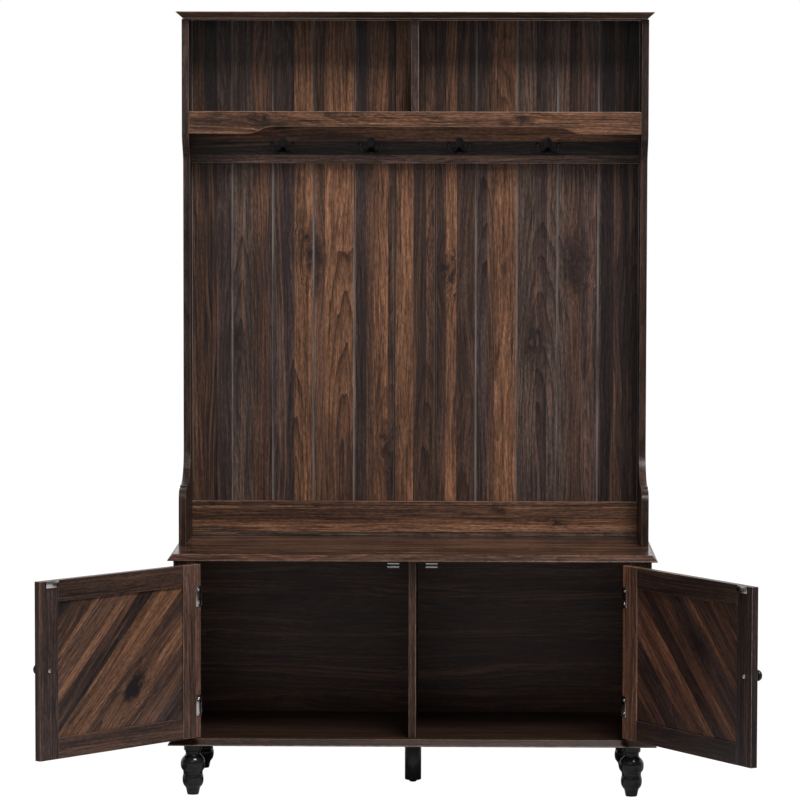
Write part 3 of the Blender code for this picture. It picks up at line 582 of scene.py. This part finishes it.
# ---- doors: boards keep their CAD shapes, with the grain turned with each door -----------------------
DOOR_EASE = 0.0002
PANEL_EASE = 0.0004
for number, side in enumerate(("left", "right")):
    lean = math.radians(45.0 if side == "left" else -45.0)
    stem = side + "_door_"
    seed = 21.0 + 5.3 * number
    for kind, tint in zip(("hinge_stile", "meeting_stile"), STILE_TINTS[side]):
        upright = plain_walnut(stem + kind, Z, X, seed, side=side, width=0.6, tones=PLAIN_UMBER, wander=0.02,
                               gain=tint)
        refined(stem + kind, upright, DOOR_EASE)
    for kind, tint in zip(("top_rail", "bottom_rail"), RAIL_TINTS[side]):
        level = plain_walnut(stem + kind, X, Z, seed + 1.7, side=side, width=0.6, tones=PLAIN_UMBER,
                             wander=0.03, gain=tint)
        refined(stem + kind, level, DOOR_EASE)
    slanted = plain_walnut(stem + "panel", Z, X, seed + 3.1, side=side, slant=lean, width=0.045,
                           gain=PANEL_TINT[side], knots=DOOR_KNOTS[side], strips=PANEL_STRIPS[side],
                           arches=0.06, hearts=DOOR_HEARTS[side])
    refined(stem + "panel", slanted, PANEL_EASE)


# ---- turned legs -------------------------------------------------------------------------------------
POLE_R = 1e-6               # a thinner ring is a single point


def turned_mesh(name, profile, steps):
    """A turning from (height, radius) pairs, closed at both ends."""
    bm = bmesh.new()
    rings = []
    for height, radius in profile:
        if radius < POLE_R:
            rings.append([bm.verts.new((0.0, 0.0, height))])
            continue
        turns = [math.tau * i / steps for i in range(steps)]
        rings.append([bm.verts.new((radius * math.cos(a), radius * math.sin(a), height)) for a in turns])
    for upper, lower in zip(rings, rings[1:]):
        for i in range(steps):
            j = (i + 1) % steps
            corners = (upper[i % len(upper)], upper[j % len(upper)],
                       lower[j % len(lower)], lower[i % len(lower)])
            bm.faces.new(list(dict.fromkeys(corners)))
    bmesh.ops.recalc_face_normals(bm, faces=bm.faces)
    return baked(bm, name)


def smooth_profile(points, between):
    """A Catmull-Rom curve through points of any dimension."""
    made = []
    last = len(points) - 1
    for i in range(last):
        p0, p1, p2, p3 = (points[max(i - 1, 0)], points[i], points[i + 1], points[min(i + 2, last)])
        for step in range(between):
            t = step / between
            made.append(tuple(0.5 * (2 * b + (c - a) * t + (2 * a - 5 * b + 4 * c - d) * t * t
                                     + (3 * b - a - 3 * c + d) * t ** 3)
                              for a, b, c, d in zip(p0, p1, p2, p3)))
    made.append(points[-1])
    return made


def cad_profile(node, middle):
    """(height, radius) pairs of a turned CAD node, from the top down."""
    found = {}
    for vertex in nodes[node].data.vertices:
        radius = math.hypot(vertex.co.x - middle.x, vertex.co.y - middle.y)
        height = round(vertex.co.z, 5)
        found[height] = max(found.get(height, 0.0), radius)
    return sorted(found.items(), reverse=True)


COLLAR_EASE = 0.0008
for node in ("front_left_leg", "front_right_leg", "back_left_leg", "back_right_leg"):
    low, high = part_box(node)
    middle = (low + high) / 2
    found = cad_profile(node, middle)
    biggest = max(radius for _, radius in found)
    collar = found[0][1]
    # the collar and the foot keep their corners; what is between runs smoothly
    curve = [(h, min(r, biggest)) for h, r in smooth_profile(found[1:-2], 4)]
    profile = [(high.z, 0.0), (high.z, collar - COLLAR_EASE), (high.z - COLLAR_EASE, collar)] + curve
    profile += [found[-2], (low.z, found[-1][1]), (low.z, 0.0)]
    mesh = turned_mesh(node + "_turned", profile, 64)
    mesh.transform(Matrix.Translation((middle.x, middle.y, 0.0)))
    fitted(node, mesh, BLACK_PAINT, 40, node + "_turned")

low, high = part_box("centre_leg")
radius = (high.x - low.x) / 2
profile = [(high.z, 0.0), (high.z, radius - 0.0006), (high.z - 0.0006, radius), (low.z + 0.0020, radius),
           (low.z + 0.0006, radius - 0.0006), (low.z, radius - 0.0020), (low.z, 0.0)]
# the centre leg wears the paler paint, painted light for its place in shade
fitted("centre_leg", turned_mesh("centre_leg_turned", profile, 64), LIFTED_BLACK_PAINT, 50, "centre_leg_turned")
glide_low, glide_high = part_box("centre_leg_glide")
radius = (glide_high.x - glide_low.x) / 2
profile = [(low.z - 0.0003, 0.0), (low.z - 0.0003, radius - 0.0004), (low.z - 0.0007, radius),
           (0.0022, radius), (0.0012, radius - 0.0003), (0.0004, radius - 0.0010), (0.0, radius - 0.0018),
           (0.0, 0.0)]
fitted("centre_leg_glide", turned_mesh("centre_leg_glide_turned", profile, 48), PLASTIC, 50,
       "centre_leg_glide_turned")

# ---- hardware ----------------------------------------------------------------------------------------
def swung(side, mesh):
    """A mesh drawn around the closed door, turned to where that door rests."""
    about = Matrix.Translation(PIVOT[side])
    mesh.transform(about @ Matrix.Rotation(-CLOSE_TURN[side], 4, "Z") @ about.inverted())
    return mesh


def block_mesh(name, low, high, ease, segments=2):
    """A box with rounded edges."""
    bm = bmesh.new()
    bmesh.ops.create_cube(bm, size=1.0)
    for vertex in bm.verts:
        vertex.co = [l + (c + 0.5) * (h - l) for l, c, h in zip(low, vertex.co, high)]
    bmesh.ops.bevel(bm, geom=bm.edges, offset=ease, segments=segments, profile=0.5, affect="EDGES")
    mark_edges(bm, ease * 1.2)
    return baked(bm, name)


def merged(name, meshes):
    """Several meshes as one."""
    bm = bmesh.new()
    for mesh in meshes:
        bm.from_mesh(mesh)
        bpy.data.meshes.remove(mesh)
    return baked(bm, name)


def cut(mesh, cutters):
    """The mesh with the cutters taken out of it."""
    holder = placed("holder", mesh)
    tools = []
    for cutter in cutters:
        tool = placed("tool", cutter)
        tools.append(tool)
        change = holder.modifiers.new("cut", "BOOLEAN")
        change.operation = "DIFFERENCE"
        change.solver = "EXACT"
        change.object = tool
    bpy.context.view_layer.update()
    graph = bpy.context.evaluated_depsgraph_get()
    made = bpy.data.meshes.new_from_object(holder.evaluated_get(graph))
    for gone in [holder] + tools:
        bpy.data.objects.remove(gone, do_unlink=True)
    return made


def cross_recess(radius, top, depth):
    """Two tapered slots that make a cross recess, opening at the top."""
    reach = radius * 0.62
    half = radius * 0.15
    return [block_mesh("slot", (-a, -b, top - depth), (a, b, top + depth), radius * 0.04, 1)
            for a, b in ((reach, half), (half, reach))]


def screw_mesh(name, radius, height):
    """A domed screw head with a cross recess; it sits on z = 0 and looks along +Z."""
    profile = [(height, 0.0), (height, radius * 0.40), (height * 0.92, radius * 0.66),
               (height * 0.70, radius * 0.86), (height * 0.35, radius * 0.97), (height * 0.10, radius),
               (0.0, radius * 0.98), (0.0, 0.0)]
    return cut(turned_mesh(name, profile, 32), cross_recess(radius, height, height * 0.62))


def facing(mesh, tilt, spot):
    """The mesh tilted about X (degrees) and moved to a spot."""
    mesh.transform(Matrix.Translation(spot) @ Matrix.Rotation(math.radians(tilt), 4, "X"))
    return mesh


TO_BACK = -90.0             # a tilt that turns +Z towards the back
TO_FRONT = 90.0

# coat hooks: a plate with two screws, and two prongs that swell into balls
HOOK_PATH = ((0.0015, -0.0021, -0.0060), (0.0045, -0.0110, -0.0122), (0.0110, -0.0230, -0.0136),
             (0.0178, -0.0315, -0.0112), (0.0215, -0.0352, -0.0045), (0.0226, -0.0360, 0.0030))
HOOK_SCREWS = (("top", 0.0026, 0.0013, 0.0100), ("low", 0.0022, 0.0012, -0.0134))   # radius, height, place
WIRE_R = 0.0031
NECK_R = 0.0026
BALL_R = 0.0047
TIP_R = 0.00002
BALL_STEPS = 12
BALL_FROM = 30              # degrees around the ball where it leaves the neck
PLATE_HALF = (0.0085, 0.0165)
PLATE_T = 0.0030


def prong(side):
    """A round prong along a smooth path, its radius growing into the ball at its tip."""
    path = [Vector((side * x, y, z)) for x, y, z in smooth_profile(HOOK_PATH, 8)]
    tip = path[-1]
    heading = (path[-1] - path[-2]).normalized()
    while (path[-1] - tip).length < BALL_R * 0.85:
        path.pop()
    total = len(path)
    stations = [(p, WIRE_R + (NECK_R - WIRE_R) * (i / total) ** 2) for i, p in enumerate(path)]
    for i in range(1, BALL_STEPS + 1):
        turn = math.radians(BALL_FROM + (180 - BALL_FROM) * i / BALL_STEPS)
        stations.append((tip - heading * BALL_R * math.cos(turn), BALL_R * math.sin(turn)))
    bm = bmesh.new()
    steps = 20
    rings = []
    wide = None
    for i, (centre, radius) in enumerate(stations):
        before = stations[max(i - 1, 0)][0]
        after = stations[min(i + 1, len(stations) - 1)][0]
        along = (after - before).normalized()
        wide = along.cross(Vector((0.0, 0.0, 1.0))) if wide is None else wide - along * wide.dot(along)
        wide.normalize()
        high = along.cross(wide)
        radius = max(radius, TIP_R)
        turns = [math.tau * k / steps for k in range(steps)]
        rings.append([bm.verts.new(centre + wide * radius * math.cos(a) + high * radius * math.sin(a))
                      for a in turns])
    for one, two in zip(rings, rings[1:]):
        for k in range(steps):
            bm.faces.new((one[k], one[(k + 1) % steps], two[(k + 1) % steps], two[k]))
    for ring in (rings[0], rings[-1]):
        bm.faces.new(ring)
    bmesh.ops.recalc_face_normals(bm, faces=bm.faces)
    return baked(bm, "prong")


def hook_plate():
    """A tall plate with round ends and a softened front edge; its back is on y = 0."""
    half_x, half_z = PLATE_HALF
    bm = bmesh.new()
    outline = []
    steps = 24
    for centre, start in ((half_z - half_x, 0.0), (half_x - half_z, math.pi)):
        for i in range(steps + 1):
            a = start + math.pi * i / steps
            outline.append(bm.verts.new((half_x * math.cos(a), 0.0, centre + half_x * math.sin(a))))
    back = bm.faces.new(outline)
    grown = bmesh.ops.extrude_face_region(bm, geom=[back])
    front = [v for v in grown["geom"] if isinstance(v, bmesh.types.BMVert)]
    bmesh.ops.translate(bm, vec=(0.0, -PLATE_T, 0.0), verts=front)
    bmesh.ops.recalc_face_normals(bm, faces=bm.faces)
    rim = [e for e in bm.edges if all(v.co.y < -PLATE_T / 2 for v in e.verts)]
    bmesh.ops.bevel(bm, geom=rim, offset=0.0009, segments=3, profile=0.5, affect="EDGES")
    mark_edges(bm, 0.0008)
    return baked(bm, "plate")


for number in range(1, 5):
    node = "coat_hook_%d" % number
    low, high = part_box(node)
    parts = [hook_plate(), prong(-1), prong(1)]
    for name, radius, height, z in HOOK_SCREWS:
        parts.append(facing(screw_mesh(name, radius, height), TO_FRONT, (0.0, -PLATE_T, z)))
    mesh = merged(node + "_fine", parts)
    mesh.transform(Matrix.Translation(((low.x + high.x) / 2, high.y, high.z - PLATE_HALF[1])))
    fitted(node, mesh, BLACK_COAT)

# ---- door hardware; places across are from the middle of the cabinet ------------------------------------
PLAY = 0.0003               # between a part and the board it lies on
DOOR_FACE = -0.192
DOOR_INNER = -0.177
KNOB_X = 0.0270
KNOB_H = 0.0250
KNOB_CURVE = ((KNOB_H, 0.0), (KNOB_H - 0.00015, 0.0022), (KNOB_H - 0.0004, 0.0046), (KNOB_H - 0.0013, 0.0078),
              (KNOB_H - 0.0033, 0.0102), (KNOB_H - 0.0065, 0.0113), (KNOB_H - 0.0095, 0.0103),
              (KNOB_H - 0.0122, 0.0074), (0.0100, 0.0056), (0.0068, 0.0051), (0.0042, 0.0056))
KNOB_FOOT = ((0.0018, 0.0079), (0.0012, 0.0082), (0.0, 0.0082), (0.0, 0.0))
HEAD_H = 0.0022             # the knob screw's head
SHANK = 0.0260
SHANK_R = 0.0020
STRIKE_X = 0.0360
STRIKE_HALF = 0.0170
BAR_DROPS = (0.0063, 0.0131)    # the catch's pole bars, from its top
BAR_HALF = 0.0011
AXIS_X = 0.4520             # the hinges' pins
AXIS_Y = -0.1950
DOOR_EDGE_X = 0.4508
STILE_EDGE_X = 0.4535
HINGE_H = 0.0435
HALF_H = HINGE_H / 2
KNUCKLE_PITCH = HINGE_H / 5
KNUCKLE_GAP = 0.0003
BARREL_R = 0.0026
BORE_R = 0.0015
PIN_R = 0.0012
LEAF_T = 0.0010
LEAF_START = 0.0030         # from the pin's axis
TAB = (0.0019, 0.0034)      # what joins a knuckle to its leaf, from the pin's axis
WRAP = 0.0145
SCREW_SPREAD = 0.0135       # hinge screws above and below the middle


def knob(side, sign):
    """A door's knob, and the screw that holds it from inside."""
    node = side + "_door_knob"
    low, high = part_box(node)
    x = sign * KNOB_X
    z = (low.z + high.z) / 2
    profile = smooth_profile(KNOB_CURVE, 3) + list(KNOB_FOOT)
    name = side + "_knob_fine"
    mesh = facing(turned_mesh(name, profile, 48), TO_FRONT, (x, DOOR_FACE - PLAY, z))
    fitted(node, swung(side, mesh), BLACK_COAT, 50, name)
    profile = ((HEAD_H, 0.0), (HEAD_H, 0.0016), (HEAD_H * 0.9, 0.0028), (HEAD_H * 0.6, 0.0039),
               (HEAD_H * 0.2, 0.0042), (0.0, 0.0042), (0.0, SHANK_R), (-SHANK, SHANK_R), (-SHANK, 0.0))
    mesh = cut(turned_mesh("knob_screw", profile, 32), cross_recess(0.0040, HEAD_H, HEAD_H * 0.6))
    mesh = facing(mesh, TO_BACK, (x, DOOR_INNER + PLAY, z))
    fitted(side + "_knob_screw", swung(side, mesh), NICKEL)


def strike(side, sign):
    """A rounded plate with one screw, on a door's inner face."""
    node = side + "_strike_plate"
    low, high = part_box(node)
    x = sign * STRIKE_X
    plate = block_mesh("plate", (x - STRIKE_HALF, DOOR_INNER + PLAY, low.z),
                       (x + STRIKE_HALF, DOOR_INNER + 0.0017, high.z), 0.0005)
    head = facing(screw_mesh("head", 0.0034, 0.0012), TO_BACK, (x, DOOR_INNER + 0.0007, (low.z + high.z) / 2))
    fitted(node, swung(side, merged(node + "_fine", [plate, head])), NICKEL)


def catch(side):
    """A magnetic catch: plastic body with two steel pole bars across its front."""
    node = side + "_magnetic_catch"
    low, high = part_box(node)
    body = block_mesh(node + "_body", (low.x, low.y + 0.0010, low.z), (high.x, high.y, high.z), 0.0009)
    fitted(node, body, PLASTIC, 50, node + "_body")
    bars = [block_mesh("bar", (low.x + 0.0008, low.y, high.z - drop - BAR_HALF),
                       (high.x - 0.0008, low.y + 0.006, high.z - drop + BAR_HALF), 0.0003)
            for drop in BAR_DROPS]
    name = node + "_bars"
    hard_shaded(shown(name, merged(name, bars), NICKEL, "frame"))


def leaf(sign, near, deep, knuckles):
    """A hinge leaf's flat from its near side along X back to a depth, and its knuckles, around the pin."""
    left, right = sorted((sign * near, sign * (near + LEAF_T)))
    parts = [block_mesh("flat", (left, LEAF_START, -HALF_H), (right, deep + LEAF_T, HALF_H), 0.0002)]
    ease = 0.0003
    for number in knuckles:
        low = -HALF_H + number * KNUCKLE_PITCH + KNUCKLE_GAP / 2
        high = low + KNUCKLE_PITCH - KNUCKLE_GAP
        profile = ((high, BORE_R), (high, BARREL_R - ease), (high - ease, BARREL_R), (low + ease, BARREL_R),
                   (low, BARREL_R - ease), (low, BORE_R), (high, BORE_R))
        parts.append(turned_mesh("knuckle", profile, 32))
        parts.append(block_mesh("tab", (left, TAB[0], low), (right, TAB[1], high), 0.0001, 1))
    return parts


def hinge(stem, side, sign):
    """Both leaves of a butt hinge, and its pin."""
    low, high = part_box(stem + "door_leaf")
    z = (low.z + high.z) / 2
    middle = Matrix.Translation((sign * AXIS_X, AXIS_Y, z))
    # door leaf: across the door's edge and onto its inner face
    near = DOOR_EDGE_X - AXIS_X
    deep = DOOR_INNER - AXIS_Y + PLAY
    parts = leaf(sign, near, deep, (1, 3))
    left, right = sorted((sign * (near - WRAP), sign * (near + LEAF_T / 2)))
    parts.append(block_mesh("wrap", (left, deep, -HALF_H), (right, deep + LEAF_T, HALF_H), 0.0003))
    for up in (-SCREW_SPREAD, SCREW_SPREAD):
        spot = (sign * (near - WRAP / 2), deep + LEAF_T * 0.9, up)
        parts.append(facing(screw_mesh("screw", 0.0030, 0.0012), TO_BACK, spot))
    mesh = merged(stem + "door_leaf_fine", parts)
    mesh.transform(middle)
    fitted(stem + "door_leaf", swung(side, mesh), NICKEL)
    # frame leaf: flat on the face stile's inner edge
    near = STILE_EDGE_X - PLAY - LEAF_T - AXIS_X
    mesh = merged(stem + "frame_leaf_fine", leaf(sign, near, DOOR_INNER - AXIS_Y - 0.0010, (0, 2, 4)))
    mesh.transform(middle)
    fitted(stem + "frame_leaf", mesh, NICKEL)
    low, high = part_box(stem + "pin")
    top = high.z - z
    base = low.z - z
    profile = ((top, 0.0), (top, 0.0010), (top - 0.0004, 0.0019), (top - 0.0010, 0.0022),
               (top - 0.0010, PIN_R), (base + 0.0003, PIN_R), (base, 0.0009), (base, 0.0))
    mesh = turned_mesh(stem + "pin_fine", profile, 24)
    mesh.transform(middle)
    fitted(stem + "pin", mesh, NICKEL)


for side, sign in (("left", -1), ("right", 1)):
    knob(side, sign)
    strike(side, sign)
    catch(side)
    for level in ("upper", "lower"):
        hinge("%s_%s_hinge_" % (side, level), side, sign)

# ---- floor, light, camera ------------------------------------------------------------------------------
scene.view_settings.view_transform = "Standard"


def stage_floor():
    """A plain pale floor that meets a plain pale backdrop of the same tone."""
    mesh = bpy.data.meshes.new("floor")
    reach = 30.0
    mesh.from_pydata([(-reach, -reach, 0.0), (reach, -reach, 0.0), (reach, reach, 0.0), (-reach, reach, 0.0)],
                     [], [(0, 1, 2, 3)])
    floor = placed("floor", mesh)
    n = Nodes("pale_floor")
    patches = n.mix(n.noise(n.rest_place(), 3.0), (0.70, 0.70, 0.70), (0.73, 0.73, 0.73))
    n.feed(n.shader.inputs["Base Color"], patches)
    n.shader.inputs["Roughness"].default_value = 0.9
    n.shader.inputs["Specular IOR Level"].default_value = 0.1
    glow = n.add("ShaderNodeEmission")
    glow.inputs["Color"].default_value = (1.0, 1.0, 1.0, 1.0)
    glow.inputs["Strength"].default_value = 1.12
    both = n.add("ShaderNodeMixShader")
    seen = n.add("ShaderNodeLightPath").outputs["Is Camera Ray"]
    n.feed(both.inputs[0], n.math("MULTIPLY", seen, FLOOR_GLOW))
    n.tree.links.new(n.shader.outputs[0], both.inputs[1])
    n.tree.links.new(glow.outputs[0], both.inputs[2])
    n.tree.links.new(both.outputs[0], n.tree.nodes["Material Output"].inputs[0])
    mesh.materials.append(n.material)


FLOOR_GLOW = 0.90
AMBIENT = 0.08              # surround as diffuse surfaces see it
DARK_SIDE = 0.10            # surround behind the camera, as glossy surfaces see it
LIGHTS = (                  # name, place, aim, size, watts
    ("key", (1.3, -2.8, 4.9), (0.0, -0.05, 0.75), (2.2, 1.5), 235.0),
    ("fill", (-0.6, -3.6, 2.4), (0.0, 0.0, 0.70), (2.4, 1.6), 10.0),
)


def studio():
    """A white surround that lights the object a little, and soft boxes."""
    world = bpy.data.worlds.new("studio")
    scene.world = world
    world.use_nodes = True
    tree = world.node_tree
    sky = tree.nodes["Background"]
    sky.inputs[0].default_value = (1.0, 1.0, 1.0, 1.0)
    path = tree.nodes.new("ShaderNodeLightPath")
    ways = tree.nodes.new("ShaderNodeSeparateXYZ")
    tree.links.new(tree.nodes.new("ShaderNodeTexCoord").outputs["Generated"], ways.inputs[0])
    shade = tree.nodes.new("ShaderNodeMapRange")
    for key, value in (("From Min", 0.05), ("From Max", 0.55), ("To Min", DARK_SIDE), ("To Max", 1.0)):
        shade.inputs[key].default_value = value
    tree.links.new(ways.outputs[1], shade.inputs["Value"])
    level = shade.outputs[0]
    for ray, value in (("Is Diffuse Ray", AMBIENT), ("Is Camera Ray", 1.0)):
        pick = tree.nodes.new("ShaderNodeMix")
        tree.links.new(path.outputs[ray], pick.inputs[0])
        tree.links.new(level, pick.inputs[2])
        pick.inputs[3].default_value = value
        level = pick.outputs[0]
    tree.links.new(level, sky.inputs[1])
    for name, place, aim, size, watts in LIGHTS:
        lamp = bpy.data.lights.new(name, "AREA")
        lamp.shape = "RECTANGLE"
        lamp.size, lamp.size_y = size
        lamp.energy = watts
        holder = placed(name, lamp)
        holder.location = place
        holder.rotation_euler = (Vector(aim) - Vector(place)).to_track_quat("-Z", "Y").to_euler()


def photographer():
    """The camera, aimed by yaw, pitch and roll."""
    data = bpy.data.cameras.new("camera")
    data.sensor_width = 36.0
    data.lens = LENS
    data.clip_end = 100.0
    camera = placed("camera", data)
    camera.location = CAMERA_PLACE
    level = Matrix.Rotation(-CAMERA_YAW, 4, "Z") @ Matrix.Rotation(math.radians(90) - CAMERA_PITCH, 4, "X")
    camera.rotation_euler = (level @ Matrix.Rotation(CAMERA_ROLL, 4, "Z")).to_euler()
    scene.camera = camera


stage_floor()
studio()
photographer()
